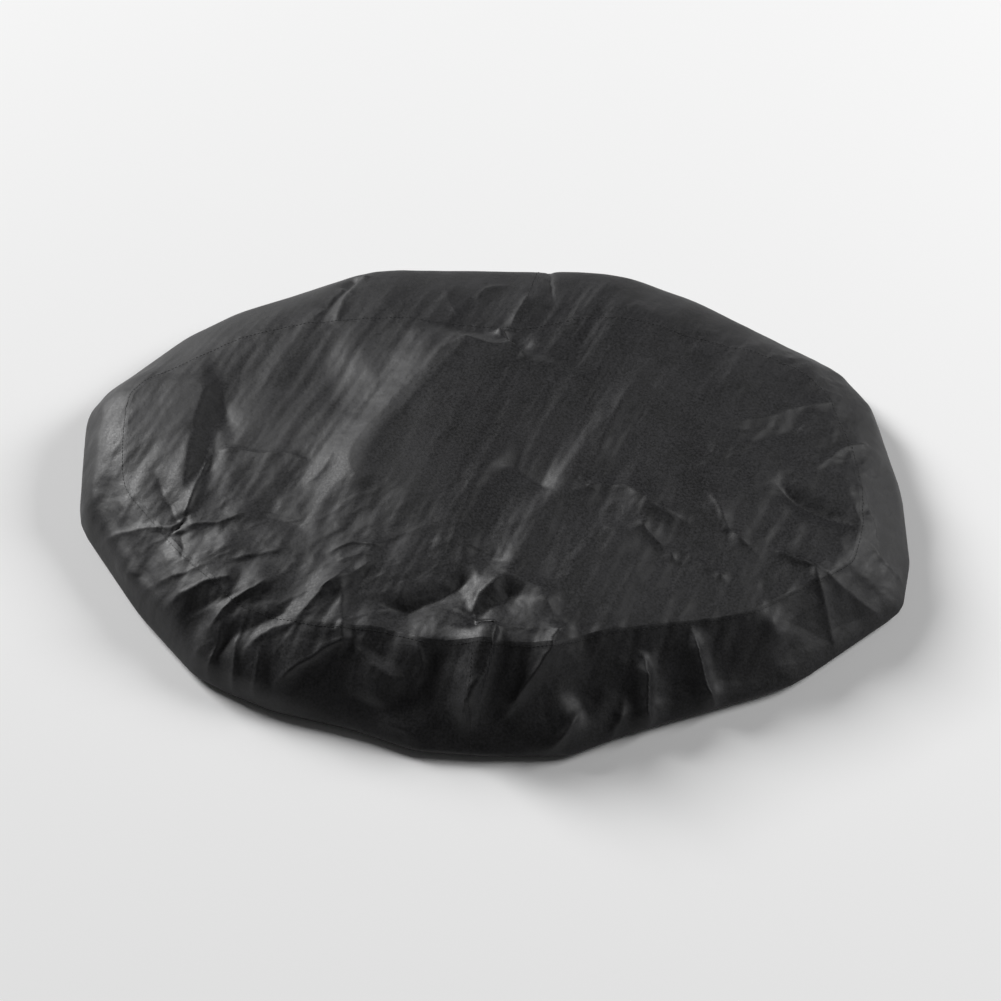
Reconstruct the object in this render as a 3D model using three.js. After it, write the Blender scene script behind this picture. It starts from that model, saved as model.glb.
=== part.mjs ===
// An elasticated wheel cover of coated black cloth, laid out on a flat surface with its opening down.
// Millimetres, +Z up. The origin is on the surface, under the middle of the cover. +X is the long way.
// Every piece follows the cover's outline: a point is given by how far it lies in from the outline
// (its inset) and by its height. Panels are drawn as thin shells, pieces that touch keep a small gap.
import * as THREE from 'three';

const LENGTH = 770;
const WIDTH = 580;

// The outline's corners from above, counter-clockwise from the right-hand end. The hem elastic pulls
// the edge straight between them. The whole is fitted to the length and the width.
const OUTLINE_CORNERS = [
  [385, 0], [369, 104], [343, 148], [212, 248], [154, 279], [105, 289], [-124, 292],
  [-252, 231], [-302, 194], [-371, 116], [-383, 90], [-376, -34], [-312, -136], [-257, -204],
  [-224, -224], [-185, -243], [-117, -262], [-60, -285], [0, -290], [72, -289], [120, -267],
  [266, -217], [371, -134], [384, -78],
];
const CORNER_ROUND = 0.14; // the share of each straight that a rounded corner takes at either end
const ROUND_STEPS = 2;

// Cloth and the small parts sewn to it.
const CLOTH = 0.8; // panel thickness as drawn
const GAP = 0.3; // between pieces that touch
const TAPE = 0.9; // binding tape, folded double
const THREAD_RADIUS = 0.4;
const THREAD_SIDES = 6;
const STITCH_RISE = 1.1; // a thread's middle above the faceted cloth it lies on
const ELASTIC_WIDTH = 8;
const ELASTIC_THICK = 1.2;

// The cover's heights and its places in from the outline.
const CROWN_HEIGHT = 82; // middle of the top panel
const SEAM_HEIGHT_ENDS = 56;
const SEAM_HEIGHT_SIDES = 74;
const SEAM_INSET_ENDS = 50;
const SEAM_INSET_FRONT = 72;
const SEAM_INSET_REAR = 144;
const WIDEST_HEIGHT = 15; // where the side turns under
const DOME_POWER = 2.5; // how flat the top panel is in its middle
const ALLOWANCE = 10; // the seam's raw edges, turned down inside
const TOPSTITCH_OFFSET = 4; // rows of stitching beside a seam
const FLOOR_INSET = 30; // where the band meets the surface
const CASING_INSET = 88; // where the hem casing begins
const CASING_WIDTH = 24;
const CASING_HEIGHT = 8;
const CASING_LAP = 9; // how far the casing grips the band's edge

// The two joins that close the band into a ring, as directions from the middle, in degrees.
const REAR_JOIN = 79;
const FRONT_JOIN = 266;
const JOIN_TAPE_WIDTH = 12;

const COLOURS = {
  cloth: { color: 0x19181b, roughness: 0.5 },
  lining: { color: 0x141316, roughness: 0.6 },
  tape: { color: 0x111113, roughness: 0.85 },
  elastic: { color: 0x1d1d20, roughness: 0.9 },
  thread: { color: 0x0e0e10, roughness: 0.7 },
};

// ---- the outline and its stations ----

function roundedOutline(points) {
  const path = new THREE.Path();
  points.forEach((corner, i) => {
    const before = points[(i + points.length - 1) % points.length];
    const after = points[(i + 1) % points.length];
    const start = corner.clone().lerp(before, CORNER_ROUND);
    const end = corner.clone().lerp(after, CORNER_ROUND);
    if (i === 0) path.moveTo(start.x, start.y);
    else path.lineTo(start.x, start.y);
    path.quadraticCurveTo(corner.x, corner.y, end.x, end.y);
  });
  return path.getPoints(ROUND_STEPS).slice(0, -1);
}

// Moves and stretches points so that their extents are the cover's length and width.
function fitted(points) {
  const extents = new THREE.Box2().setFromPoints(points);
  const middle = extents.getCenter(new THREE.Vector2());
  const scale = new THREE.Vector2(LENGTH, WIDTH).divide(extents.getSize(new THREE.Vector2()));
  return points.map((p) => p.clone().sub(middle).multiply(scale));
}

const turnOf = (p) => (THREE.MathUtils.radToDeg(Math.atan2(p.y, p.x)) + 360) % 360;

// The point where the outline crosses a direction from the middle.
function crossing(points, degrees) {
  const angle = THREE.MathUtils.degToRad(degrees);
  const side = (p) => Math.cos(angle) * p.y - Math.sin(angle) * p.x;
  const ahead = (p) => Math.cos(angle) * p.x + Math.sin(angle) * p.y > 0;
  for (let i = 0; i < points.length; i++) {
    const a = points[i];
    const b = points[(i + 1) % points.length];
    if (ahead(a) && side(a) <= 0 && side(b) > 0) {
      return a.clone().lerp(b, -side(a) / (side(b) - side(a)));
    }
  }
  throw new Error('the outline does not cross ' + degrees + ' degrees');
}

// The outline's points from one direction round to another, both ends included.
function stretch(points, from, to) {
  const span = (to - from + 360) % 360 || 360;
  const after = (p) => (turnOf(p) - from + 360) % 360;
  const inside = points.filter((p) => after(p) > 0.2 && after(p) < span - 0.2);
  inside.sort((a, b) => after(a) - after(b));
  return [crossing(points, from), ...inside, crossing(points, to)];
}

// Moves the two ends of an open stretch in from a join, so that the pieces there do not touch.
function shortened(stations, amount) {
  const moved = stations.map((p) => p.clone());
  const last = moved.length - 1;
  const step = (a, b) => b.clone().sub(a).setLength(amount);
  moved[0].add(step(stations[0], stations[1]));
  moved[last].add(step(stations[last], stations[last - 1]));
  return moved;
}

// 0 at the cover's two ends, 1 at the middle of its long sides.
const sideways = (station) => (station.y / station.length()) ** 2;

// How far in the top seam lies, and how high.
function seamInset(station) {
  const atSide = station.y > 0 ? SEAM_INSET_REAR : SEAM_INSET_FRONT;
  return THREE.MathUtils.lerp(SEAM_INSET_ENDS, atSide, sideways(station));
}

function seamHeight(station) {
  return THREE.MathUtils.lerp(SEAM_HEIGHT_ENDS, SEAM_HEIGHT_SIDES, sideways(station));
}

// A point at a given inset and height, on the line from a station to the middle.
function placed(station, inset, height) {
  const share = 1 - inset / station.length();
  return new THREE.Vector3(station.x * share, station.y * share, height);
}

// ---- solids ----

function geometryOf(vertices, triangles) {
  const flat = vertices.flatMap((v) => [v.x, v.y, v.z]);
  const geometry = new THREE.BufferGeometry();
  geometry.setAttribute('position', new THREE.Float32BufferAttribute(flat, 3));
  geometry.setIndex(triangles);
  geometry.computeVertexNormals();
  return geometry;
}

// Carries a closed section of [inset, height] points along the stations, round or end to end.
// sectionAt gives the section at a station.
function sweep(stations, sectionAt, closed = false) {
  const onPlane = (section) => section.map(([d, z]) => new THREE.Vector2(-d, z));
  const sections = stations.map(sectionAt);
  const outwards = THREE.ShapeUtils.area(onPlane(sections[0])) > 0;
  const loops = outwards ? sections : sections.map((section) => [...section].reverse());
  const vertices = loops.flatMap((loop, k) => loop.map(([d, z]) => placed(stations[k], d, z)));
  const n = loops[0].length;
  const triangles = [];
  const rows = closed ? stations.length : stations.length - 1;
  for (let k = 0; k < rows; k++) {
    const here = k * n;
    const next = ((k + 1) % stations.length) * n;
    for (let i = 0; i < n; i++) {
      const j = (i + 1) % n;
      triangles.push(here + i, next + i, next + j, here + i, next + j, here + j);
    }
  }
  if (!closed) {
    const last = rows * n;
    THREE.ShapeUtils.triangulateShape(onPlane(loops[0]), []).forEach(([a, b, c]) => {
      triangles.push(a, b, c);
    });
    THREE.ShapeUtils.triangulateShape(onPlane(loops[rows]), []).forEach(([a, b, c]) => {
      triangles.push(last + c, last + b, last + a);
    });
  }
  return geometryOf(vertices, triangles);
}

// A line of [inset, height] points moved sideways. A positive distance goes to the left of its run.
function offsetLine(line, distance) {
  return line.map(([x, y], i) => {
    const [ax, ay] = line[Math.max(i - 1, 0)];
    const [bx, by] = line[Math.min(i + 1, line.length - 1)];
    const before = Math.atan2(y - ay, x - ax);
    const after = Math.atan2(by - y, bx - x);
    const first = i === 0 ? after : before;
    const last = i === line.length - 1 ? before : after;
    const half = Math.atan2(Math.sin(last - first), Math.cos(last - first)) / 2;
    const normal = first + half + Math.PI / 2;
    const reach = distance / Math.cos(half);
    return [x + reach * Math.cos(normal), y + reach * Math.sin(normal)];
  });
}

// A strip of even thickness along a line of [inset, height] points.
const strip = (line, thickness) => [...line, ...offsetLine(line, thickness).reverse()];

// A round section at an inset and height.
function dot(inset, height, radius) {
  return Array.from({ length: THREAD_SIDES }, (_, i) => {
    const turn = (2 * Math.PI * i) / THREAD_SIDES;
    return [inset + radius * Math.cos(turn), height + radius * Math.sin(turn)];
  });
}

// A thread along a line of points in space.
function threadAlong(points, steps) {
  const section = new THREE.Shape(
    dot(0, 0, THREAD_RADIUS).map(([x, y]) => new THREE.Vector2(x, y)),
  );
  const extrudePath = new THREE.CatmullRomCurve3(points, false, 'centripetal');
  return new THREE.ExtrudeGeometry(section, { steps, extrudePath, bevelEnabled: false });
}

// ---- the pieces ----

const corners = OUTLINE_CORNERS.map(([x, y]) => new THREE.Vector2(x, y));
const outline = fitted(roundedOutline(corners));
const ring = [
  ...stretch(outline, REAR_JOIN, FRONT_JOIN).slice(0, -1),
  ...stretch(outline, FRONT_JOIN, REAR_JOIN).slice(0, -1),
];

const BAND_EDGE_HEIGHT = CLOTH + GAP; // the band's lower edge, held up inside the casing
const seamFoot = (station) => seamHeight(station) - ALLOWANCE;

// The band's outer face, from the seam over the shoulder, down the side and in along the surface.
function bandFace(station) {
  const seam = seamInset(station);
  const height = (share) => THREE.MathUtils.lerp(WIDEST_HEIGHT, seamHeight(station), share);
  return [
    [seam, height(1)],
    [seam * 0.7, height(0.8)],
    [seam * 0.38, height(0.53)],
    [seam * 0.13, height(0.26)],
    [0, WIDEST_HEIGHT],
    [3, 7],
    [10, 2],
    [FLOOR_INSET, 0],
    [CASING_INSET - 10, 0],
  ];
}

// The same with its turned-down allowance at the seam and its raised edge in the casing.
function bandLine(station) {
  return [
    [seamInset(station), seamFoot(station)],
    ...bandFace(station),
    [CASING_INSET, BAND_EDGE_HEIGHT],
    [CASING_INSET + CASING_LAP, BAND_EDGE_HEIGHT],
  ];
}

function sideBand(from, to) {
  const stations = shortened(stretch(outline, from, to), GAP);
  return sweep(stations, (station) => strip(bandLine(station), CLOTH));
}

// The top panel: a shallow dome whose edge turns down beside the band's, inside the seam.
function topPanel() {
  const shares = [0.3, 0.6, 0.82, 0.94, 1];
  const edge = (inward, heightAt) => ring.map((p) => placed(p, seamInset(p) + inward, heightAt(p)));
  const across = (share, drop) => {
    const dome = (p) => THREE.MathUtils.lerp(CROWN_HEIGHT, seamHeight(p), share ** DOME_POWER);
    const towardsMiddle = new THREE.Vector3(share, share, 1);
    return edge(GAP, (p) => dome(p) - drop).map((v) => v.multiply(towardsMiddle));
  };
  const rings = [
    ...shares.map((share) => across(share, 0)),
    edge(GAP, seamFoot),
    edge(GAP + CLOTH, seamFoot),
    edge(GAP + CLOTH, (p) => seamHeight(p) - CLOTH),
    ...shares.slice(0, -1).reverse().map((share) => across(share, CLOTH)),
  ];
  const n = ring.length;
  const vertices = rings.flat();
  const top = vertices.push(new THREE.Vector3(0, 0, CROWN_HEIGHT)) - 1;
  const under = vertices.push(new THREE.Vector3(0, 0, CROWN_HEIGHT - CLOTH)) - 1;
  const lastRow = (rings.length - 1) * n;
  const triangles = [];
  for (let i = 0; i < n; i++) {
    const j = (i + 1) % n;
    triangles.push(top, i, j, under, lastRow + j, lastRow + i);
    for (let row = 0; row < lastRow; row += n) {
      triangles.push(row + i, row + n + i, row + n + j, row + i, row + n + j, row + j);
    }
  }
  return geometryOf(vertices, triangles);
}

// Tape folded round the raw edges of the seam that joins the top panel to the band.
function topSeamBinding() {
  const outer = -CLOTH - GAP;
  const inner = 2 * GAP + CLOTH;
  const sectionAt = (station) => {
    const seam = seamInset(station);
    const foot = seamFoot(station);
    const fold = [
      [seam + outer, foot + 5],
      [seam + outer, foot - GAP],
      [seam + inner, foot - GAP],
      [seam + inner, foot + 5],
    ];
    return strip(fold, -TAPE);
  };
  return sweep(ring, sectionAt, true);
}

// Tape over the raw edges of a join, on the inside of the band.
function joinBinding(direction) {
  const reach = crossing(outline, direction).length();
  const halfTurn = THREE.MathUtils.radToDeg(JOIN_TAPE_WIDTH / 2 / reach);
  const stations = stretch(outline, direction - halfTurn, direction + halfTurn);
  const sectionAt = (station) => {
    const lining = offsetLine(bandFace(station), CLOTH + GAP + 0.3).slice(1, -1);
    return strip(lining, TAPE);
  };
  return sweep(stations, sectionAt);
}

// A row of stitching on the band's outer face beside a join, down to where the side turns under.
function joinStitching(direction) {
  const reach = crossing(outline, direction).length();
  const turn = THREE.MathUtils.radToDeg(TOPSTITCH_OFFSET / reach);
  const station = crossing(outline, direction + turn);
  const face = offsetLine(bandFace(station), -STITCH_RISE).slice(1, 7);
  return threadAlong(face.map(([d, z]) => placed(station, d, z)), 24);
}

// A folded strip that grips the band's edge and makes the channel for the elastic.
function hemCasing() {
  const inner = CASING_INSET + CASING_WIDTH;
  const upperLeg = BAND_EDGE_HEIGHT + CLOTH + GAP;
  const line = [
    [CASING_INSET + 1, CLOTH],
    [inner - 5, CLOTH],
    [inner - 1, CASING_HEIGHT * 0.35],
    [inner - 1, CASING_HEIGHT * 0.65],
    [inner - 5, CASING_HEIGHT - CLOTH],
    [CASING_INSET + CASING_LAP + 4, CASING_HEIGHT - CLOTH],
    [CASING_INSET + CASING_LAP, upperLeg],
    [CASING_INSET + 1, upperLeg],
  ];
  return sweep(ring, () => strip(line, -CLOTH), true);
}

const elasticInset = CASING_INSET + CASING_LAP + 3;
const elasticHeight = CLOTH + GAP + 0.4;

// A flat woven elastic. Its two ends lap over each other behind the rear join.
function hemElastic() {
  const lapTurn = 2;
  const loop = stretch(outline, REAR_JOIN, REAR_JOIN - lapTurn);
  const lapped = stretch(outline, REAR_JOIN - lapTurn, REAR_JOIN).slice(1);
  const stations = [...loop, ...lapped];
  const levels = stations.map((_, k) => (k < loop.length ? 0 : ELASTIC_THICK + GAP));
  const sectionAt = (_, k) => {
    const foot = elasticHeight + levels[k];
    return [
      [elasticInset, foot],
      [elasticInset + ELASTIC_WIDTH, foot],
      [elasticInset + ELASTIC_WIDTH, foot + ELASTIC_THICK],
      [elasticInset, foot + ELASTIC_THICK],
    ];
  };
  return sweep(stations, sectionAt);
}

// Zigzag stitching across the elastic's lapped ends, drawn as one flat zigzag of thread.
function elasticSplice() {
  const turns = 6;
  const step = 1.4;
  const margin = 1.5;
  const zigzag = Array.from({ length: turns + 1 }, (_, i) => [
    (i - turns / 2) * step,
    i % 2 ? ELASTIC_WIDTH / 2 - margin : margin - ELASTIC_WIDTH / 2,
  ]);
  const outlinePoints = strip(zigzag, 2 * THREAD_RADIUS).map(([x, y]) => new THREE.Vector2(x, y));
  const depth = 2 * THREAD_RADIUS;
  const thread = new THREE.ExtrudeGeometry(new THREE.Shape(outlinePoints), {
    depth,
    bevelEnabled: false,
  });
  const station = crossing(outline, REAR_JOIN - 1);
  const height = elasticHeight + 2 * ELASTIC_THICK + 3 * GAP;
  const place = placed(station, elasticInset + ELASTIC_WIDTH / 2, height);
  return thread.rotateZ(station.angle() + Math.PI / 2).translate(place.x, place.y, place.z);
}

// A row of stitching on the band beside the seam.
function topSeamStitching() {
  const sectionAt = (station) => {
    const clear = offsetLine(bandFace(station), -STITCH_RISE);
    const run = clear[1][0] - clear[0][0];
    const share = -TOPSTITCH_OFFSET / run;
    return dot(clear[0][0] + run * share, THREE.MathUtils.lerp(clear[0][1], clear[1][1], share),
      THREAD_RADIUS);
  };
  return sweep(ring, sectionAt, true);
}

function hemStitching() {
  const height = BAND_EDGE_HEIGHT + 2 * CLOTH + 2 * GAP + THREAD_RADIUS + 0.1;
  const inset = CASING_INSET + CASING_LAP / 2;
  return sweep(ring, () => dot(inset, height, THREAD_RADIUS), true);
}

// ---- the assembly ----

const materials = Object.fromEntries(
  Object.entries(COLOURS).map(([name, look]) => [
    name,
    new THREE.MeshStandardMaterial({ ...look, metalness: 0 }),
  ]),
);
const cover = new THREE.Group();

function add(name, geometry, material) {
  const mesh = new THREE.Mesh(geometry, materials[material]);
  mesh.name = name;
  cover.add(mesh);
}

add('top_panel', topPanel(), 'cloth');
add('side_band_left', sideBand(REAR_JOIN, FRONT_JOIN), 'cloth');
add('side_band_right', sideBand(FRONT_JOIN, REAR_JOIN), 'cloth');
add('top_seam_binding', topSeamBinding(), 'tape');
add('front_join_binding', joinBinding(FRONT_JOIN), 'tape');
add('rear_join_binding', joinBinding(REAR_JOIN), 'tape');
add('hem_casing', hemCasing(), 'lining');
add('hem_elastic', hemElastic(), 'elastic');
add('elastic_splice_stitching', elasticSplice(), 'thread');
add('top_seam_stitching', topSeamStitching(), 'thread');
add('front_join_stitching', joinStitching(FRONT_JOIN), 'thread');
add('rear_join_stitching', joinStitching(REAR_JOIN), 'thread');
add('hem_stitching', hemStitching(), 'thread');

export default cover;
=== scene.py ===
"""A wheel cover of thin black coated cloth, lying on its opening: its looks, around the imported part.

Metres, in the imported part's own frame. The cloth is one surface, built in rings from the middle of the
top panel out to the seam, down the side and in again under the cover to the hem. It gets its broad
folds first, then wrinkles from a cloth simulation, then its sharp creases and its seams. Last it is
cut along the seams into the pieces that are sewn together, and the tapes, the hem casing, the elastic
and the stitching are laid along it.
"""
import math

import bpy
import numpy as np
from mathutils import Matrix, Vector, noise


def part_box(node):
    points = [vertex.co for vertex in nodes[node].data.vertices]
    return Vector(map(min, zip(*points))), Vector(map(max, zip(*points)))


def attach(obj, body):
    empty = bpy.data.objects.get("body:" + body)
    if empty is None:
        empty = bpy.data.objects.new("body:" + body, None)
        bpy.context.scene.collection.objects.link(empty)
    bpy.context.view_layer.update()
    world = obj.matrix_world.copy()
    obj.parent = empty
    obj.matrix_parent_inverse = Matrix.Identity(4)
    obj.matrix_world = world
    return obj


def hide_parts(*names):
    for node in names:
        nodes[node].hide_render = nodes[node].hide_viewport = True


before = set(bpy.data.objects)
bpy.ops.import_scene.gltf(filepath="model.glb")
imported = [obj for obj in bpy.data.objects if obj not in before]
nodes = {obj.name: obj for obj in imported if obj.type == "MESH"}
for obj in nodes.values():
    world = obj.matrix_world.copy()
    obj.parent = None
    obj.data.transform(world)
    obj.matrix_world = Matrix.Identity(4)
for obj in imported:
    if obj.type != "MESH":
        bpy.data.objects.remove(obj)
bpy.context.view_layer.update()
random = np.random.default_rng(7)
TURN = 2 * math.pi

# ---- sizes ----

CROWN_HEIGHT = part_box("top_panel")[1].z
DOME_POWER = 2.5  # how flat the top panel is in its middle
WIDEST_HEIGHT = 0.015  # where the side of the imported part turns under
FOOT_HEIGHT = 0.009  # where the cloth does, as it sags onto the surface
CLOTH = 0.0004
TAPE = 0.0006
SEAM_OPENING = 0.00004  # from each piece's edge to the seam's line
ALLOWANCE = 0.008  # the edges turned down inside the top seam
CLEARANCE = 0.0007  # the lowest cloth above the surface
SETTLING_HEIGHT = 0.089
SLID = np.array([0, -0.020])  # the cover's top and its folds have slid this far to the front
CASING_INSET = 0.088  # where the hem casing begins, in from the outline
ELASTIC_WIDTH = 0.008
ELASTIC_THICK = 0.0012
GATHER = 0.0034  # height of the waves that the elastic draws the hem into
GATHERS = 84

TOP_RINGS = 76  # rings of the mesh from the middle of the top panel to its seam
COLUMNS = 8 * TOP_RINGS

# ---- the outline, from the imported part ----


def loop_at(names, height):
    """The outermost loop of CAD vertices at one height, as plan points in order of direction."""
    co = np.concatenate([np.array([v.co for v in nodes[n].data.vertices]) for n in names])
    co = co[abs(co[:, 2] - height) < 3e-4][:, :2]
    radius = np.hypot(co[:, 0], co[:, 1])
    direction = np.round(np.arctan2(co[:, 1], co[:, 0]) / 2e-3)
    order = np.lexsort((-radius, direction))
    first = np.r_[True, np.diff(direction[order]) != 0]
    return co[order[first]]


def resampled(loop, count, start):
    """count points evenly spaced along a closed loop, from the direction start onwards."""
    closed = np.vstack([loop, loop[:1]])
    run = np.r_[0, np.cumsum(np.linalg.norm(np.diff(closed, axis=0), axis=1))]
    fine_run = np.linspace(0, run[-1], 40001)[:-1]
    dense = np.stack([np.interp(fine_run, run, closed[:, k]) for k in (0, 1)], 1)
    turned = (np.arctan2(dense[:, 1], dense[:, 0]) - start) % TURN
    dense = np.roll(dense, -int(np.argmin(turned)), axis=0)
    return dense[(np.arange(count) * len(dense)) // count]


def seam_loop():
    """The top panel's outermost CAD vertices: plan points in order of direction, and their heights."""
    co = np.array([v.co for v in nodes["top_panel"].data.vertices])
    radius = np.round(np.hypot(co[:, 0], co[:, 1]), 4)
    direction = np.round(np.arctan2(co[:, 1], co[:, 0]) / 2e-3)
    order = np.lexsort((-co[:, 2], -radius, direction))
    first = np.r_[True, np.diff(direction[order]) != 0]
    return co[order[first]]


def radius_of(loop, direction):
    """The loop's radius in each direction."""
    dense = resampled(loop, 8000, -math.pi)
    turn = np.arctan2(dense[:, 1], dense[:, 0])
    order = np.argsort(turn)
    radius = np.hypot(dense[:, 0], dense[:, 1])
    return np.interp(direction, turn[order], radius[order], period=TURN)


def direction_of(node):
    low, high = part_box(node)
    middle = (low + high) / 2
    return math.atan2(middle.y, middle.x)


rear_join = direction_of("rear_join_binding")
front_join = direction_of("front_join_binding")
widest_loop = loop_at(["side_band_left", "side_band_right"], WIDEST_HEIGHT)
outline = resampled(widest_loop, COLUMNS, rear_join)
outline_turn = np.arctan2(outline[:, 1], outline[:, 0])
outline_radius = np.hypot(outline[:, 0], outline[:, 1])
seam = seam_loop()
seam_radius = radius_of(seam[:, :2], outline_turn)
seam_turn = np.arctan2(seam[:, 1], seam[:, 0])
seam_height = np.interp(outline_turn, seam_turn, seam[:, 2], period=TURN)
seam_inset = outline_radius - seam_radius
from_front_join = (outline_turn - front_join + math.pi) % TURN - math.pi
front_column = int(np.argmin(abs(from_front_join)))

# ---- the surface in rings ----


def smooth(value, low, high):
    """0 up to low, 1 from high on, and a soft rise between them."""
    share = np.clip((value - low) / (high - low), 0, 1)
    return share * share * (3 - 2 * share)


# Points of the band's section: the inset as a share of the seam's, a further inset in metres, the
# height above the widest part as a share of the seam's, first where the side is round and then where
# it is steep, a height in metres instead, and the rings from here to the next point.
BAND_PROFILE = [
    (1.0, 0, 1.0, 1.0, 0, 9),
    (0.70, 0, 0.87, 0.70, 0, 9),
    (0.38, 0, 0.64, 0.38, 0, 8),
    (0.13, 0, 0.36, 0.16, 0, 6),
    (0, 0, 0, 0, 0, 3),
    (0, 0.003, None, None, 0.0042, 3),
    (0, 0.010, None, None, 0.0016, 5),
    (0, 0.030, None, None, 0.0012, 8),
    (0, 0.060, None, None, 0.0012, 9),
    (0, 0.096, None, None, 0.0016, 1),
]
WIDEST_RING = sum(point[5] for point in BAND_PROFILE[:4])
FLOOR_RING = sum(point[5] for point in BAND_PROFILE[:7])
BAND_RINGS = sum(point[5] for point in BAND_PROFILE[:-1])
STEEP_SIDE = math.radians(292)  # the band is steepest here, at the front right


def spline_weights(knots, samples):
    """Catmull-Rom weights that give each sample from the knots."""
    weights = np.zeros((len(samples), knots))
    for row, place in enumerate(samples):
        k = min(int(place), knots - 2)
        t = place - k
        basis = (
            -0.5 * t + t**2 - 0.5 * t**3,
            1 - 2.5 * t**2 + 1.5 * t**3,
            0.5 * t + 2 * t**2 - 1.5 * t**3,
            -0.5 * t**2 + 0.5 * t**3,
        )
        for step, share in zip((-1, 0, 1, 2), basis):
            weights[row, min(max(k + step, 0), knots - 1)] += share
    return weights


def band_grid():
    """The band's points by ring and column, without the seam's own ring."""
    steep = smooth(np.cos(outline_turn - STEEP_SIDE), 0.25, 0.9)
    samples, insets, heights = [], [], []
    for k, (share, fixed, round_side, steep_side, height, count) in enumerate(BAND_PROFILE):
        insets.append(share * seam_inset + fixed)
        if round_side is not None:
            rise = round_side + (steep_side - round_side) * steep
            height = FOOT_HEIGHT + (seam_height - FOOT_HEIGHT) * rise
        heights.append(height + 0 * steep)
        samples += [k + (i + 1) / count for i in range(count)]
    weights = spline_weights(len(BAND_PROFILE), samples[:-1])
    radius = outline_radius - weights @ np.array(insets)
    height = np.maximum(weights @ np.array(heights), CLEARANCE)
    return np.stack([radius * np.cos(outline_turn), radius * np.sin(outline_turn), height], 2)


def top_grid():
    """The top panel's points on a square grid that is bent to the seam's outline, each point's share
    of the way out to the seam, and the points on the seam by column."""
    span = np.arange(-TOP_RINGS, TOP_RINGS + 1)
    i, j = (a.ravel() for a in np.meshgrid(span, span, indexing="ij"))
    ring = np.maximum(abs(i), abs(j))
    safe = np.maximum(ring, 1)
    corners = [(i == ring) & (j > -ring), (j == ring), (i == -ring), (j == -ring)]
    side = np.select(corners, [0, 1, 2, 3])
    along = np.select([side == 0, side == 1, side == 2], [j, -i, -j], i)
    column = ((side * 2 * safe + along + safe) * TOP_RINGS / safe) % COLUMNS
    low = np.floor(column).astype(int) % COLUMNS
    part = (column - np.floor(column))[:, None]
    seam = outline * (seam_radius / outline_radius)[:, None]
    edge = seam[low] * (1 - part) + seam[(low + 1) % COLUMNS] * part
    share = ring / TOP_RINGS
    seam_at = seam_height[low] * (1 - part[:, 0]) + seam_height[(low + 1) % COLUMNS] * part[:, 0]
    height = CROWN_HEIGHT + (seam_at - CROWN_HEIGHT) * share**DOME_POWER
    on_seam = np.nonzero(ring == TOP_RINGS)[0]
    seam_order = np.zeros(COLUMNS, int)
    seam_order[np.round(column[on_seam]).astype(int) % COLUMNS] = on_seam
    return np.column_stack([edge * share[:, None], height]), share, seam_order


TOP, LEFT, RIGHT = 0, 1, 2


def build_surface():
    """The whole cloth: its points, each point's ring, its quads, each quad's piece, and the points by
    ring and column from the seam to the hem. The rings count from 0 in the middle to 1 at the seam,
    and go up by 1 from there."""
    top, share, seam_order = top_grid()
    band = band_grid()
    size = 2 * TOP_RINGS + 1
    co = np.vstack([top, band.reshape(-1, 3)])
    ring = np.concatenate([share, 1 + np.repeat(np.arange(1, BAND_RINGS + 1), COLUMNS)])
    a = (np.arange(size - 1)[:, None] * size + np.arange(size - 1)).ravel()
    top_quads = np.stack([a, a + size, a + size + 1, a + 1], 1)
    band_order = len(top) + np.arange(BAND_RINGS * COLUMNS).reshape(-1, COLUMNS)
    order = np.vstack([seam_order, band_order])
    beside = np.roll(order, -1, axis=1)
    band_quads = np.stack([order[:-1], order[1:], beside[1:], beside[:-1]], 2).reshape(-1, 4)
    kind = np.where(np.tile(np.arange(COLUMNS) < front_column, BAND_RINGS), LEFT, RIGHT)
    quads = np.vstack([top_quads, band_quads])
    return co, ring, quads, np.r_[np.full(len(top_quads), TOP), kind], order


def mesh_of(name, co, faces):
    mesh = bpy.data.meshes.new(name)
    mesh.from_pydata(np.asarray(co).tolist(), [], np.asarray(faces).tolist())
    mesh.update()
    return mesh


def placed(name, data):
    """A new object in the scene."""
    placed_object = bpy.data.objects.new(name, data)
    bpy.context.scene.collection.objects.link(placed_object)
    return placed_object


def normals_of(co, quads):
    """Vertex normals of a quad mesh."""
    a, b, c, d = (co[quads[:, k]] for k in range(4))
    flat = np.cross(c - a, d - b)
    out = np.zeros_like(co)
    for k in range(4):
        np.add.at(out, quads[:, k], flat)
    return unit(out)


def unit(vectors):
    return vectors / np.maximum(np.linalg.norm(vectors, axis=-1, keepdims=True), 1e-12)


# ---- noise and folds ----


def noise_at(co, scale, seed=0.0, octaves=3):
    """Smooth noise of about -1 to 1 at each point; scale is the size of a lump."""
    at = np.asarray(co) / scale
    at = np.column_stack([at, np.zeros(len(at))]) if at.shape[1] == 2 else at
    shifted = at + (seed, -seed, seed * 0.5)
    return np.array([noise.fractal(Vector(p), 0.9, 2.0, octaves) for p in shifted])


def warped(plan, amount, scale, seed):
    shift = [noise_at(plan, scale, seed), noise_at(plan, scale, seed + 9)]
    return plan + amount * np.column_stack(shift)


def along(plan, direction, length, width):
    """Plan points squeezed so that noise on them makes lumps of that length along a direction."""
    cosine, sine = math.cos(direction), math.sin(direction)
    return np.column_stack([plan @ (cosine, sine) / length, plan @ (-sine, cosine) / width])


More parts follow.
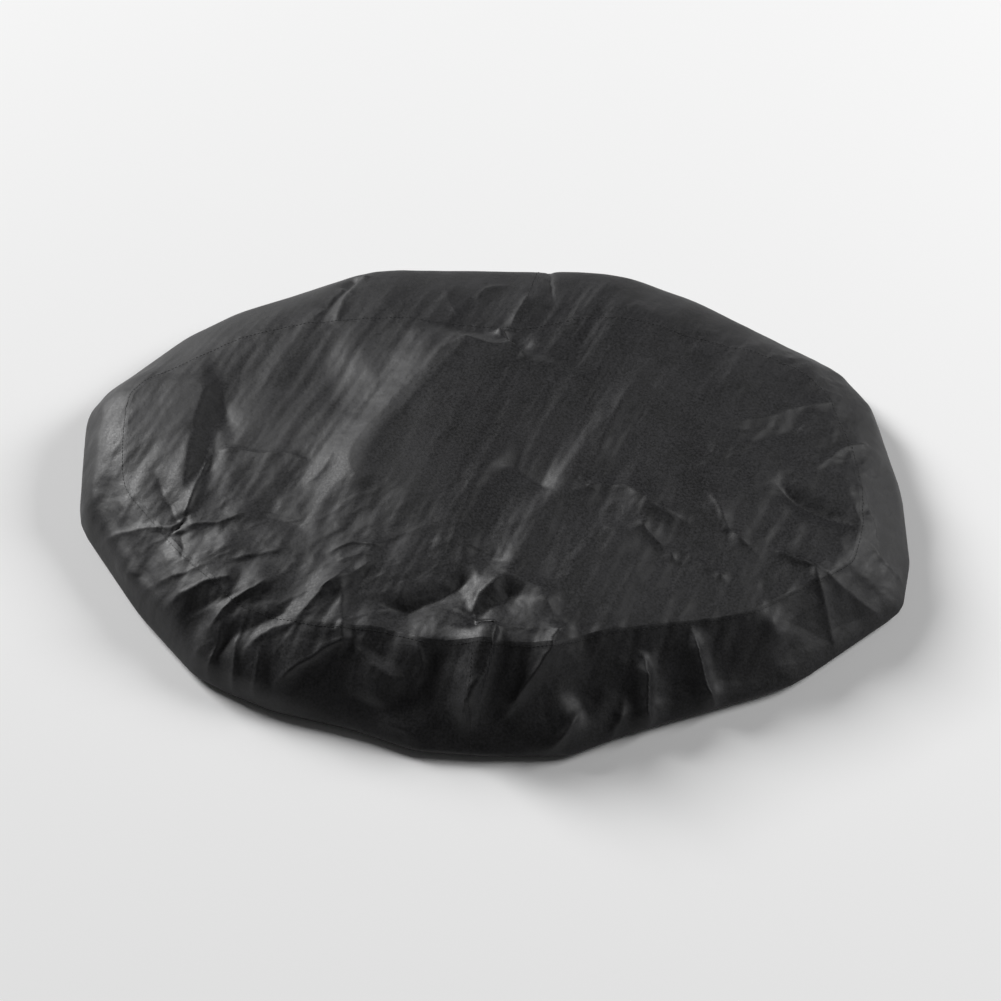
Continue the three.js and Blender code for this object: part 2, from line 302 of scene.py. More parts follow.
def fold(plan, path, height, left, right, power=1.0, ends=(0.3, 0.3)):
    """A ridge along a path, or a furrow if the height is negative, in mm. It falls off over left and
    right, seen along the path, so that a short reach makes a steep side. power 1 gives a sharp
    crest and 2 a round one. It rises and dies away over the ends, which are shares of its chord."""
    path = np.array(path, float) / 1000
    reach = 8 * max(left, right) / 1000
    low, high = path.min(0) - reach, path.max(0) + reach
    near = ((plan > low) & (plan < high)).all(axis=1)
    at = plan[near]
    best = np.full(len(at), 1e9)
    side = np.ones(len(at))
    for start, end in zip(path[:-1], path[1:]):
        step = end - start
        share = np.clip(((at - start) @ step) / (step @ step), 0, 1)
        off = at - start - share[:, None] * step
        distance = np.hypot(off[:, 0], off[:, 1])
        closer = distance < best
        best[closer] = distance[closer]
        side[closer] = np.sign(step[0] * off[closer, 1] - step[1] * off[closer, 0])
    chord = path[-1] - path[0]
    place = np.clip(((at - path[0]) @ chord) / (chord @ chord), 0, 1)
    width = np.where(side > 0, left, right) / 1000
    taper = smooth(place, 0, max(ends[0], 0.01)) * smooth(1 - place, 0, max(ends[1], 0.01))
    out = np.zeros(len(plan))
    out[near] = height / 1000 * np.exp(-((best / width) ** power)) * taper
    return out


def folds(plan, items):
    """All the folds of a list. Their paths are those on a cover that lies evenly on its opening."""
    return sum(fold(plan - SLID, *item) for item in items)


# Each fold: its path on the plan, its height, its reach to the left and to the right, its power and
# its ends. The last two are left out where they are the ones that fold takes by itself. The
# simulation softens these folds.
BROAD_FOLDS = [
    # the edge stands up a little round the left end and the rear
    ([(-300, 170), (-356, 100), (-354, -20), (-310, -100), (-250, -160)], 8, 70, 15, 1.6, (0.2, 0.1)),
    ([(180, 262), (60, 284), (-90, 284), (-200, 250)], 5, 60, 18, 1.6, (0.2, 0.2)),
    ([(-345, 50), (-340, -30), (-304, -100), (-262, -150)], -6, 30, 18, 1.5),
    # the long ridge from the middle up to the rear seam, steep on its left
    ([(-118, -80), (-116, -25), (-110, 5), (-98, 32), (-60, 90), (-8, 168)], 13, 40, 100, 1.4, (0.3, 0.1)),
    ([(-178, -75), (-172, -30), (-150, 25), (-112, 84), (-76, 140)], -5, 40, 30, 1.6, (0.3, 0.2)),
    # the dip inside the rear left of the seam
    ([(-262, 84), (-216, 98), (-165, 112), (-105, 122)], -9, 42, 50, 1.6, (0.1, 0.3)),
    # the fold across the left end, and the hollow beside it
    ([(-258, 125), (-268, 88), (-276, 25), (-282, -60)], 6, 14, 190, 1.3, (0.5, 0.5)),
    ([(-248, 95), (-258, 20), (-268, -30)], -6, 12, 16, 1.5),
    # the arcs in the middle
    ([(-2, -10), (23, -5), (39, -18), (64, -40)], -6, 22, 14, 1.4),
    ([(62, -44), (100, -32), (124, -35), (146, -55), (188, -73)], 4, 18, 12, 1.3),
    # the sag above the front face, and the tent beside it
    ([(-108, -156), (-71, -163), (-41, -148), (-8, -126)], -9, 14, 18, 1.4, (0.3, 0.2)),
    ([(-14, -178), (-6, -148), (14, -130), (50, -150), (74, -160)], 6, 12, 16, 1.3),
    ([(-16, -190), (-8, -170), (16, -151), (44, -152)], -6, 8, 9, 1.4, (0.2, 0.4)),
    ([(-26, -92), (-2, -106), (22, -118)], -5, 18, 12, 1.4, (0.4, 0.4)),
    # soft furrows in the lower left
    ([(-222, -34), (-195, -52), (-163, -67), (-144, -40)], -5, 12, 12, 1.4),
    ([(-300, -92), (-250, -96), (-205, -88)], 4, 12, 12, 1.4),
    ([(-250, -188), (-205, -168), (-160, -152)], -5, 10, 12, 1.4),
    ([(-270, -146), (-238, -140), (-206, -136)], -4, 10, 10, 1.4),
    # broad streaks over the right half
    ([(70, -178), (112, -140), (156, -104)], 4, 34, 30, 1.8),
    ([(142, -145), (170, -106), (196, -80)], -3, 20, 20, 1.6),
    ([(84, -11), (109, 44), (144, 121)], 2, 16, 30, 1.6),
    ([(-90, -94), (-43, 25), (2, 121)], 1.5, 14, 26, 1.5),
    ([(-44, -118), (0, 10)], 1.5, 16, 20, 1.5),
    # hollows of the right end
    ([(255, -9), (282, -33), (304, -47), (336, -60)], -5, 14, 12, 1.4),
    ([(225, 30), (268, 48), (300, 66)], -3, 14, 14, 1.4),
    ([(340, 20), (318, -10), (308, -80)], 3, 16, 22, 1.4),
    # the rear: beside its left corner, and at the join
    ([(-127, 276), (-145, 244), (-159, 214), (-172, 185)], -7, 10, 10, 1.3, (0.1, 0.4)),
    ([(7, 174), (20, 140), (33, 122)], 6, 10, 14, 1.3, (0.2, 0.3)),
    ([(17, 167), (40, 142)], -5, 10, 10, 1.4, (0.3, 0.4)),
    # the front face: the fold beside the join, and hollows
    ([(2, -186), (-10, -217), (-20, -262)], 8, 8, 22, 1.2, (0.1, 0.3)),
    ([(-40, -190), (-48, -220), (-44, -250)], -6, 16, 16, 1.6),
    ([(-90, -200), (-104, -232)], 5, 16, 18, 1.6),
    ([(70, -215), (92, -240)], -5, 22, 22, 1.8, (0.4, 0.4)),
    ([(240, -150), (262, -176)], 4, 14, 16, 1.5, (0.4, 0.4)),
]

# These stay sharp, because they are made after the simulation.
SHARP_FOLDS = [
    # the crest of the long ridge, and lines along it
    ([(-112, -30), (-108, 5), (-96, 32), (-58, 90), (-14, 158)], 1.6, 18, 5, 1.0, (0.3, 0.2)),
    ([(-146, 10), (-122, 66), (-96, 118)], 0.7, 5, 8),
    ([(-128, -8), (-92, 62), (-60, 112)], 0.5, 5, 5),
    # the edge across the left end, and the blade beside it
    ([(-258, 122), (-266, 88), (-273, 25), (-275, -36)], 3.0, 5, 40, 1.0, (0.1, 0.2)),
    ([(-252, 50), (-257, 13), (-264, -24), (-272, -58)], 4.6, 4, 9, 1.0, (0.5, 0.1)),
    # creases that run out from one point near the left end
    ([(-274, -62), (-297, -59), (-329, -53), (-362, -50)], 1.8, 7, 4, 1.0, (0.1, 0.5)),
    ([(-276, -58), (-295, -17), (-312, 18)], -2, 5, 7, 1.0, (0.05, 0.5)),
    ([(-270, -62), (-239, -62), (-210, -50)], 2.6, 10, 4, 1.0, (0.1, 0.3)),
    ([(-273, -66), (-268, -108)], -2.4, 5, 5, 1.0, (0.1, 0.5)),
    ([(-274, -62), (-276, -60)], -3, 6, 6, 1.2, (0.01, 0.01)),
    ([(-340, -70), (-322, -88), (-300, -98)], 1.4, 6, 4, 1.0, (0.3, 0.4)),
    # the ledge to its right
    ([(-258, 24), (-236, 25), (-208, 19), (-181, 16), (-157, 1)], 1.6, 3, 8, 1.0, (0.2, 0.2)),
    ([(-222, -34), (-195, -52), (-163, -67), (-144, -40)], 1.6, 5, 5),
    ([(-168, -24), (-150, -8), (-138, 18)], 1.4, 9, 4),
    # folds of the lower left that lie over towards the front
    ([(-284, -132), (-243, -124), (-216, -122)], 3.0, 12, 4, 1.0, (0.3, 0.2)),
    ([(-248, -168), (-224, -145), (-176, -121)], 5.0, 14, 4.5, 1.0, (0.25, 0.3)),
    ([(-188, -213), (-152, -196), (-114, -183)], 4.6, 15, 4, 1.0, (0.25, 0.15)),
    ([(-154, -148), (-120, -126), (-90, -108)], 4.0, 11, 5),
    ([(-146, -102), (-118, -93), (-88, -96)], 2.6, 7, 4),
    ([(-142, -114), (-112, -105), (-88, -108)], 2.0, 5, 4),
    ([(-170, -172), (-146, -145), (-116, -117)], 4.0, 12, 5),
    ([(-127, -114), (-126, -150), (-124, -188)], 3.0, 4, 11, 1.0, (0.3, 0.15)),
    ([(-234, -104), (-204, -100), (-172, -92)], 2.0, 8, 4),
    ([(-300, -112), (-268, -112), (-238, -104)], 1.8, 8, 4),
    ([(-214, -186), (-186, -172), (-160, -168)], 2.0, 9, 4),
    # pleats of the front left
    ([(-228, -150), (-240, -184), (-254, -216)], 3.4, 4, 11, 1.0, (0.3, 0.15)),
    ([(-214, -160), (-220, -195), (-232, -236)], 3.4, 4, 9, 1.0, (0.3, 0.15)),
    ([(-194, -178), (-200, -200), (-210, -232)], 2.4, 4, 8, 1.0, (0.3, 0.2)),
    ([(-118, -186), (-100, -206), (-62, -222)], 3.4, 10, 6, 1.0, (0.2, 0.4)),
    ([(-62, -186), (-56, -210), (-66, -232)], 3.0, 4, 10, 1.0, (0.3, 0.4)),
    ([(-100, -240), (-76, -250), (-52, -262)], 2.4, 10, 6, 1.0, (0.3, 0.4)),
    # the front face: the crest beside the join, and slivers
    ([(8, -178), (-6, -214), (-26, -256)], 9.0, 4, 15, 1.0, (0.1, 0.4)),
    ([(8, -252), (40, -217), (70, -176)], 10.0, 11, 7, 1.0, (0.3, 0.2)),
    ([(133, -190), (136, -232), (150, -272)], 9.0, 5, 11, 1.0, (0.2, 0.3)),
    ([(174, -170), (186, -206), (210, -240)], 7.0, 5, 11, 1.0, (0.2, 0.4)),
    ([(32, -280), (60, -262), (84, -236)], 7.0, 10, 6),
    ([(96, -264), (112, -242), (118, -222)], 3.6, 6, 8, 1.0, (0.3, 0.4)),
    ([(-10, -182), (-14, -168), (-8, -150), (14, -132), (30, -132)], 2.6, 8, 6, 1.0, (0.1, 0.3)),
    ([(-14, -188), (12, -184), (50, -188), (74, -196)], 1.8, 5, 5, 1.0, (0.2, 0.3)),
    ([(46, -152), (54, -166), (58, -184)], 2.0, 4, 8, 1.0, (0.2, 0.3)),
    ([(-108, -152), (-71, -160), (-41, -146), (-8, -124)], -1.8, 6, 6, 1.0, (0.3, 0.2)),
    ([(-26, -92), (-4, -100), (16, -112)], 1.4, 5, 6, 1.0, (0.3, 0.4)),
    # arcs of the middle
    ([(0, -8), (23, -3), (40, -17), (60, -36)], -1.4, 8, 6),
    ([(62, -41), (100, -29), (124, -32), (146, -52), (186, -70)], 1.5, 8, 4, 1.0, (0.2, 0.3)),
    # creases of the right half
    ([(132, -66), (149, -88), (168, -110)], 2.0, 7, 9, 1.0, (0.2, 0.2)),
    ([(162, -86), (184, -106), (211, -128)], 2.0, 7, 9, 1.0, (0.2, 0.2)),
    ([(96, -76), (124, -80), (152, -66)], 1.0, 7, 7, 1.0, (0.3, 0.4)),
    ([(197, -28), (212, -71), (242, -102)], 2.0, 10, 4, 1.0, (0.2, 0.3)),
    ([(240, -86), (285, -106), (308, -170)], 1.8, 7, 6, 1.0, (0.2, 0.2)),
    ([(255, -8), (282, -32), (304, -46), (336, -59)], -1.6, 8, 6, 1.0, (0.2, 0.3)),
    ([(196, 50), (237, 60), (268, 72), (302, 88), (344, 100)], 1.6, 9, 7, 1.0, (0.3, 0.2)),
    ([(206, 44), (250, 54), (282, 62)], -0.9, 7, 7),
    ([(290, -2), (325, 35), (356, 53)], 1.9, 6, 4, 1.0, (0.3, 0.15)),
    ([(332, 6), (343, -36), (350, -78)], 2.0, 5, 9),
    ([(322, 4), (330, -40), (338, -66)], 1.6, 7, 7),
    ([(335, -68), (376, -94)], 1.6, 6, 6),
    ([(250, -88), (311, -117), (364, -131)], 1.2, 6, 6),
    ([(272, -54), (300, -64), (322, -90)], 1.4, 8, 6),
    ([(306, 84), (320, 60), (314, 34)], 1.3, 7, 7),
    ([(230, 18), (246, 44), (268, 70)], 0.9, 7, 5),
    ([(176, -12), (206, 18), (216, 52)], 0.9, 8, 5),
    # streaks
    ([(84, -11), (109, 44), (144, 121)], 0.8, 8, 14),
    ([(20, -94), (67, 13), (111, 121)], 0.4, 5, 8),
    ([(-41, -117), (2, 13)], 0.6, 5, 8),
    ([(-90, -94), (-43, 25), (2, 121)], 0.5, 5, 8),
    ([(100, 150), (124, 190), (150, 232)], 0.7, 5, 8),
    ([(140, 150), (168, 196), (186, 224)], 0.5, 5, 8),
    # the rear: its left corner, and the pleats at the join
    ([(-120, 276), (-138, 236), (-146, 196), (-140, 178)], 3.0, 5, 9, 1.0, (0.1, 0.3)),
    ([(-142, 258), (-160, 218), (-176, 186)], 2.0, 9, 4, 1.0, (0.1, 0.4)),
    ([(60, 296), (61, 250), (62, 210)], -2.6, 3, 4, 1.0, (0.02, 0.4)),
    ([(41, 238), (28, 205), (20, 172)], 2.4, 8, 5),
    ([(-17, 216), (-3, 242), (26, 252)], 1.6, 5, 5),
    ([(-46, 260), (-40, 220), (-26, 186)], 1.2, 5, 9),
    ([(6, 176), (20, 142), (34, 122)], 2.8, 6, 7, 1.0, (0.2, 0.3)),
    ([(12, 170), (26, 150), (38, 140)], -2.0, 4, 5, 1.0, (0.2, 0.4)),
    ([(-20, 170), (-2, 160), (10, 148)], 1.2, 5, 5),
]

STREAK_DIRECTION = math.radians(66)


def random_creases(plan, count, length, height, reach, middle, spread):
    """count short creases at random places round middle, most of them along the streaks. length,
    height and reach are the lowest and highest values, in mm."""
    out = np.zeros(len(plan))
    for _ in range(count):
        at = 1000 * (np.array(middle) + np.array(spread) * random.uniform(-1, 1, 2))
        turn = STREAK_DIRECTION + random.normal(0, 0.8)
        half = random.uniform(*length) / 2 * np.array([math.cos(turn), math.sin(turn)])
        bend = random.uniform(-0.2, 0.2) * np.array([-half[1], half[0]])
        tall = random.choice([-1, 1]) * random.uniform(*height)
        near, far = random.uniform(*reach, 2)
        out += fold(plan, [at - half, at + bend, at + half], tall, near, far, 1.0, (0.4, 0.4))
    return out


def patch(plan, middle, size):
    """1 in the middle of an oval patch, dying away to 0 outside it."""
    off = (plan - middle) / size
    return np.exp(-((off**2).sum(axis=1) ** 1.5))


def liveliness(plan):
    """How creased the cloth is: little in the middle and along the rear, much elsewhere."""
    calm = patch(plan, (0.02, 0.07), (0.19, 0.15)) + patch(plan, (-0.22, 0.10), (0.09, 0.06))
    calm = calm + 0.7 * smooth(plan[:, 1], 0.13, 0.20) + 0.8 * patch(plan, (-0.31, 0.11), (0.06, 0.08))
    return np.clip(1 - calm, 0.08, 1)


# ---- the cloth simulation ----

SIM_FRAMES = 20
SIM_GROWTH = 0.022


def simulate(co, quads, hold, growth):
    """Lets the cloth buckle: it grows a little where growth says, while hold keeps it in place."""
    piece = placed("simulated", mesh_of("simulated", co, quads))
    for name, values in (("hold", hold), ("growth", growth)):
        group = piece.vertex_groups.new(name=name)
        rounded = np.round(values, 3)
        for level in np.unique(rounded):
            group.add(np.nonzero(rounded == level)[0].tolist(), float(level), "REPLACE")
    cloth = piece.modifiers.new("cloth", "CLOTH")
    settings = cloth.settings
    settings.quality = 4
    settings.mass = 0.05
    settings.tension_stiffness = settings.compression_stiffness = 20
    settings.shear_stiffness = 8
    settings.bending_model = "ANGULAR"
    settings.bending_stiffness = 0.5
    settings.tension_damping = settings.compression_damping = settings.shear_damping = 4
    settings.bending_damping = 0.5
    settings.air_damping = 2
    settings.shrink_min, settings.shrink_max = 0.0, -SIM_GROWTH
    settings.vertex_group_shrink = "growth"
    settings.vertex_group_mass = "hold"
    settings.pin_stiffness = 1.0
    settings.effector_weights.gravity = 0.0
    cloth.collision_settings.use_collision = False
    cloth.collision_settings.use_self_collision = False
    cloth.point_cache.frame_start, cloth.point_cache.frame_end = 1, SIM_FRAMES
    scene = bpy.context.scene
    for number in range(1, SIM_FRAMES + 1):
        scene.frame_set(number)
    done = piece.evaluated_get(bpy.context.evaluated_depsgraph_get())
    out = np.zeros(len(co) * 3, np.float32)
    done.data.vertices.foreach_get("co", out)
    scene.frame_set(1)
    bpy.data.objects.remove(piece)
    return out.reshape(-1, 3).astype(float)


# ---- the cloth's shape ----


def gathers(turn):
    """The waves round the hem, from 0 to 1. They die away where the elastic's ends are sewn flat."""
    round_hem = np.column_stack([np.cos(turn), np.sin(turn)])
    uneven = 2.4 * noise_at(round_hem, 0.12, 2.0)
    height = 0.75 + 0.35 * noise_at(round_hem, 0.18, 6.0)
    wave = (0.5 + 0.5 * np.sin(GATHERS * turn + uneven)) * np.clip(height, 0.3, 1)
    from_splice = abs((turn - direction_of("elastic_splice_stitching") + math.pi) % TURN - math.pi)
    return wave * smooth(from_splice, math.radians(2), math.radians(5))


points, rings, quads, kinds, order = build_surface()
plan = points[:, :2].copy()
base_normals = normals_of(points, quads)
lively = liveliness(plan)
free = 1 - smooth(rings, WIDEST_RING - 9, WIDEST_RING + 1)
relief = folds(warped(plan, 0.003, 0.05, 3.0), BROAD_FOLDS)
relief *= 1 + 0.5 * smooth(plan[:, 0], 0.08, 0.2)
relief += 0.0016 * noise_at(along(plan, STREAK_DIRECTION, 0.09, 0.045), 1.0, 5.0) * lively
relief += 0.0006 * noise_at(along(plan, 0.5, 0.03, 0.016), 1.0, 8.0) * lively
points += base_normals * (relief * free)[:, None]

count = order[WIDEST_RING + 4, -1] + 1
used = quads[(quads < count).all(axis=1)]
hold = np.where(rings[:count] > WIDEST_RING - 2, 1.0, 0.012 + 0.05 * (1 - lively[:count]))
points[:count] = simulate(points[:count], used, hold, lively[:count])

drawn_in = np.zeros(len(points))
wave = np.zeros(len(points))
inset_now = outline_radius[None, :] - np.hypot(points[order][..., 0], points[order][..., 1])
drawn_in[order] = smooth(inset_now, 0.012, 0.085) * (np.arange(BAND_RINGS + 1) > WIDEST_RING)[:, None]
wave[order] = gathers(outline_turn)[None, :]
points[:, 2] += GATHER * wave * drawn_in

# How far each point is from the top seam and, on the band, from the nearer join.
seam_distance = (1 - rings) * np.interp(
    np.arctan2(plan[:, 1], plan[:, 0]), *zip(*sorted(zip(outline_turn, seam_radius))), period=TURN
)
steps = np.linalg.norm(np.diff(points[order], axis=0), axis=2)
seam_distance[order[1:]] = np.cumsum(steps, axis=0)
seam_distance[order[0]] = 0
column = np.arange(COLUMNS)
spacing = np.linalg.norm(np.roll(outline, -1, axis=0) - outline, axis=1).mean()
from_rear = np.minimum(column, COLUMNS - column) * spacing
from_front = abs(column - front_column) * spacing
join_distance = np.ones(len(points))
join_distance[order] = np.minimum(from_rear, from_front)[None, :]
column_turn = np.zeros(len(points))
column_turn[order] = (column * TURN / COLUMNS)[None, :]

ATTRIBUTES = {
    "ring": rings,
    "x": plan[:, 0],
    "y": plan[:, 1],
    "seam": seam_distance,
    "join": join_distance,
    "column_cos": np.cos(column_turn),
    "column_sin": np.sin(column_turn),
}


def subdivided(co, faces, numbers, attributes):
    """The surface after one Catmull-Clark step, with its face numbers and its attributes."""
    piece = placed("cover", mesh_of("cover", co, faces))
    for k in range(3):
        piece.data.materials.append(bpy.data.materials.new("part%d" % k))
    piece.data.polygons.foreach_set("material_index", numbers)
    for name, values in attributes.items():
        piece.data.attributes.new(name, "FLOAT", "POINT").data.foreach_set("value", values)
    piece.modifiers.new("finer", "SUBSURF").levels = 1
    mesh = piece.evaluated_get(bpy.context.evaluated_depsgraph_get()).data
    co = np.zeros(len(mesh.vertices) * 3, np.float32)
    mesh.vertices.foreach_get("co", co)
    corners = np.zeros(len(mesh.loops), np.int32)
    mesh.loops.foreach_get("vertex_index", corners)
    number = np.zeros(len(mesh.polygons), np.int32)
    mesh.polygons.foreach_get("material_index", number)
    found = {}
    for name in attributes:
        value = np.zeros(len(mesh.vertices), np.float32)
        mesh.attributes[name].data.foreach_get("value", value)
        found[name] = value.astype(float)
    materials = list(piece.data.materials)
    bpy.data.objects.remove(piece)
    for material in materials:
        bpy.data.materials.remove(material)
    return co.reshape(-1, 3).astype(float), corners.reshape(-1, 4), number, found


fine, fine_quads, fine_kinds, at = subdivided(points, quads, kinds, ATTRIBUTES)
fine_ring = at["ring"]
fine_plan = np.column_stack([at["x"], at["y"]])
lively = liveliness(fine_plan)
above = 1 - smooth(fine_ring, WIDEST_RING - 7, WIDEST_RING + 3)

# Sharp folds, short creases at random places, crumpled patches and faint streaks.
detail = folds(warped(fine_plan, 0.0016, 0.018, 3.0), SHARP_FOLDS)
detail *= 1.15 + 0.5 * smooth(fine_plan[:, 0], 0.05, 0.15)
all_over, lower_left, right_end = (
    random_creases(fine_plan, *values)
    for values in (
        (110, (25, 90), (0.15, 0.7), (2, 8), (0, -0.02), (0.36, 0.26)),
        (30, (20, 60), (0.2, 0.7), (3, 8), (-0.22, -0.12), (0.13, 0.10)),
        (40, (15, 55), (0.2, 0.7), (2, 6), (0.27, -0.04), (0.10, 0.14)),
    )
)
detail += lively * all_over
detail += lower_left
detail += right_end
crinkles = warped(along(fine_plan, 0.45, 0.045, 0.022), 0.3, 1.0, 2.0)
crumple = 1 - abs(2.2 * noise_at(crinkles, 1.0, 21.0, 2))
crumpled = patch(fine_plan, (-0.2, -0.13), (0.13, 0.11))
crumpled += 0.8 * patch(fine_plan, (0.29, -0.02), (0.10, 0.15))
crumpled += 0.6 * patch(fine_plan, (0.0, -0.2), (0.16, 0.10))
detail += 0.0005 * np.clip(crumple, 0, 1) ** 2 * np.clip(crumpled, 0, 1)
streaks = 0
for height, length, width, seed, octaves in (
    (0.0009, 0.12, 0.014, 4.0, 2), (0.0030, 0.14, 0.034, 14.0, 1), (0.00025, 0.025, 0.006, 24.0, 2),
):
    lengthways = along(fine_plan, STREAK_DIRECTION, length, width)
    streaks = streaks + height * noise_at(lengthways, 1.0, seed, octaves)
streaks *= (0.7 + 0.5 * smooth(fine_plan[:, 0], -0.05, 0.1)) * (1 - smooth(fine_ring, 8, 26))
streaks *= 1 - 0.5 * patch(fine_plan, (0.28, 0.0), (0.10, 0.14))
detail += streaks + 0.0002 * noise_at(fine_plan, 0.010, 11.0, 2) * lively

# The seams draw the cloth in along a thin line, and pucker it on both sides.
pucker = noise_at(along(fine_plan, STREAK_DIRECTION, 0.02, 0.007), 1.0, 31.0, 1)
for distance, depth in ((at["seam"], 1.0), (at["join"], 0.6)):
    detail -= 0.00008 * depth * np.exp(-((distance / 0.0016) ** 2))
    detail += 0.0005 * depth * pucker * np.exp(-((distance / 0.012) ** 2))
fine += normals_of(fine, fine_quads) * (detail * above)[:, None]
fine[:, 2] = np.maximum(fine[:, 2], CLEARANCE)
# Cloth settles: what stands above SETTLING_HEIGHT is pressed down to 0.4 of its rise over it.
fine[:, 2] -= 0.6 * np.maximum(fine[:, 2] - SETTLING_HEIGHT, 0)
fine_normals = normals_of(fine, fine_quads)

# The band's fine points by half ring and half column.
on_band = np.nonzero(fine_ring > 0.9999)[0]
half_ring = np.round(2 * (fine_ring[on_band] - 1)).astype(int)
half_column = np.arctan2(at["column_sin"][on_band], at["column_cos"][on_band]) % TURN
half_column = np.round(half_column / TURN * 2 * COLUMNS).astype(int) % (2 * COLUMNS)
band = np.zeros((2 * BAND_RINGS + 1, 2 * COLUMNS), int)
band[half_ring, half_column] = on_band

# ---- the pieces ----


def boundary_edges(faces):
    """The directed edges that only one quad uses."""
    edges = np.vstack([faces[:, [k, (k + 1) % 4]] for k in range(4)])
    size = edges.max() + 1
    return edges[~np.isin(edges[:, 0] * size + edges[:, 1], edges[:, 1] * size + edges[:, 0])]


def add_piece(name, co, faces, material, thickness=0.0, replaces=(), sharp=None):
    """sharp lists pairs of points whose edges are creased hard instead of shaded round."""
    mesh = mesh_of(name, co, faces)
    mesh.materials.append(material)
    mesh.polygons.foreach_set("use_smooth", np.ones(len(mesh.polygons), bool))
    if sharp is not None:
        ends = np.zeros(2 * len(mesh.edges), np.int32)
        mesh.edges.foreach_get("vertices", ends)
        number = np.sort(ends.reshape(-1, 2), axis=1) @ (len(co), 1)
        hard = np.isin(number, np.sort(sharp, axis=1) @ (len(co), 1))
        mesh.attributes.new("sharp_edge", "BOOLEAN", "EDGE").data.foreach_set("value", hard)
    piece = placed(name, mesh)
    if thickness:
        shell = piece.modifiers.new("thickness", "SOLIDIFY")
        shell.thickness, shell.offset = thickness, -1
        shell.use_even_offset = False
    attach(piece, "root")
    if replaces:
        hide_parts(*replaces)
    return piece


def panel(name, kind, replaces):
    """Cuts one panel out of the cloth, with its edge turned down inside the top seam."""
    used, flat = np.unique(fine_quads[fine_kinds == kind], return_inverse=True)
    faces = flat.reshape(-1, 4)
    co, normal, ring = fine[used].copy(), fine_normals[used], fine_ring[used]
    edges = boundary_edges(faces)
    edges = edges[(ring[edges] < BAND_RINGS + 0.9).any(axis=1)]
    rim = np.unique(edges)
    middle = np.zeros((len(used), 3))
    np.add.at(middle, faces.ravel(), np.repeat(co[faces].mean(axis=1), 4, axis=0))
    middle /= np.bincount(faces.ravel(), minlength=len(used))[:, None]
    co[rim] += SEAM_OPENING * unit(middle - co)[rim]
    at_seam = edges[(ring[edges] < 1.0001).all(axis=1)]
    turned = np.unique(at_seam)
    number = np.zeros(len(used), int)
    number[turned] = len(co) + np.arange(len(turned))
    flange = np.stack([at_seam[:, 1], at_seam[:, 0], number[at_seam[:, 0]], number[at_seam[:, 1]]], 1)
    co = np.vstack([co, co[turned] - ALLOWANCE * normal[turned]])
    return add_piece(name, co, np.vstack([faces, flange]), coated_cloth, CLOTH, replaces, edges)


def grid_faces(rows, columns, closed_columns=False):
    """Quads over a grid of points in row order."""
    index = np.arange(rows * columns).reshape(rows, columns)
    if closed_columns:
        index = np.hstack([index, index[:, :1]])
    return np.stack([index[:-1, :-1], index[1:, :-1], index[1:, 1:], index[:-1, 1:]], 2).reshape(-1, 4)


def strip_along(name, lines, material, thickness, replaces, closed=False):
    """A strip of cloth through lines of points, side by side; lines is (lines, points, 3)."""
    faces = grid_faces(*lines.shape[:2], closed_columns=closed)
    return add_piece(name, lines.reshape(-1, 3), faces, material, thickness, replaces)


def seam_frame():
    """The top seam's points, the cloth's normals there, and the directions inwards across it."""
    loop = band[0]
    at, normal = fine[loop], fine_normals[loop]
    onwards = unit(np.roll(at, -1, axis=0) - np.roll(at, 1, axis=0))
    return at, normal, unit(np.cross(normal, onwards))


def seam_binding():
    """Tape folded round the two turned-down edges of the top seam."""
    at, normal, inwards = seam_frame()
    section = [(-1.4, -4.5), (-1.4, -9.0), (-0.7, -9.8), (0.7, -9.8), (1.4, -9.0), (1.4, -4.5)]
    lines = np.stack([at + a / 1000 * inwards + d / 1000 * normal for a, d in section])
    return strip_along("top_seam_tape", lines, binding_tape, TAPE, ["top_seam_binding"], closed=True)


def join_binding(name, column, replaces):
    """Tape over the raw edges of a join, inside the band."""
    across = (2 * column + np.arange(-3, 4)) % (2 * COLUMNS)
    loops = band[8 : 2 * FLOOR_RING, across]
    lines = fine[loops] - 0.0012 * fine_normals[loops]
    return strip_along(name, lines.transpose(1, 0, 2), binding_tape, TAPE, [replaces])


HEM_SECTION = [  # the casing's folded strip: insets from its outer edge and heights, in mm
    (1, 1.0), (6, 0.9), (12, 0.9), (17, 0.9), (20, 1.1), (22.4, 2.0), (23.4, 4.0),
    (22.4, 6.2), (20, 7.2), (16, 7.5), (13, 7.0), (10.4, 5.2), (9, 3.4), (6, 2.9), (1, 2.9),
]
HEM_COLUMNS = 2 * COLUMNS


def at_hem(turn, inset, height):
    """A point at an inset and height near the hem, moved by the gathers there."""
    rise = gathers(turn)
    radius = radius_of(widest_loop, turn) - inset - 0.0012 * rise * (inset > CASING_INSET + 0.015)
    return np.stack([radius * np.cos(turn), radius * np.sin(turn), height + GATHER * rise], 1)


def hem_casing():
    """A folded strip that grips the band's edge and makes the channel for the elastic."""
    turn = np.arange(HEM_COLUMNS) * TURN / HEM_COLUMNS
    lines = np.stack([at_hem(turn, CASING_INSET + d / 1000, z / 1000) for d, z in HEM_SECTION])
    faces = grid_faces(*lines.shape[:2], closed_columns=True)[:, ::-1]
    return add_piece("hem_casing_cloth", lines.reshape(-1, 3), faces, casing_cloth, CLOTH, ["hem_casing"])


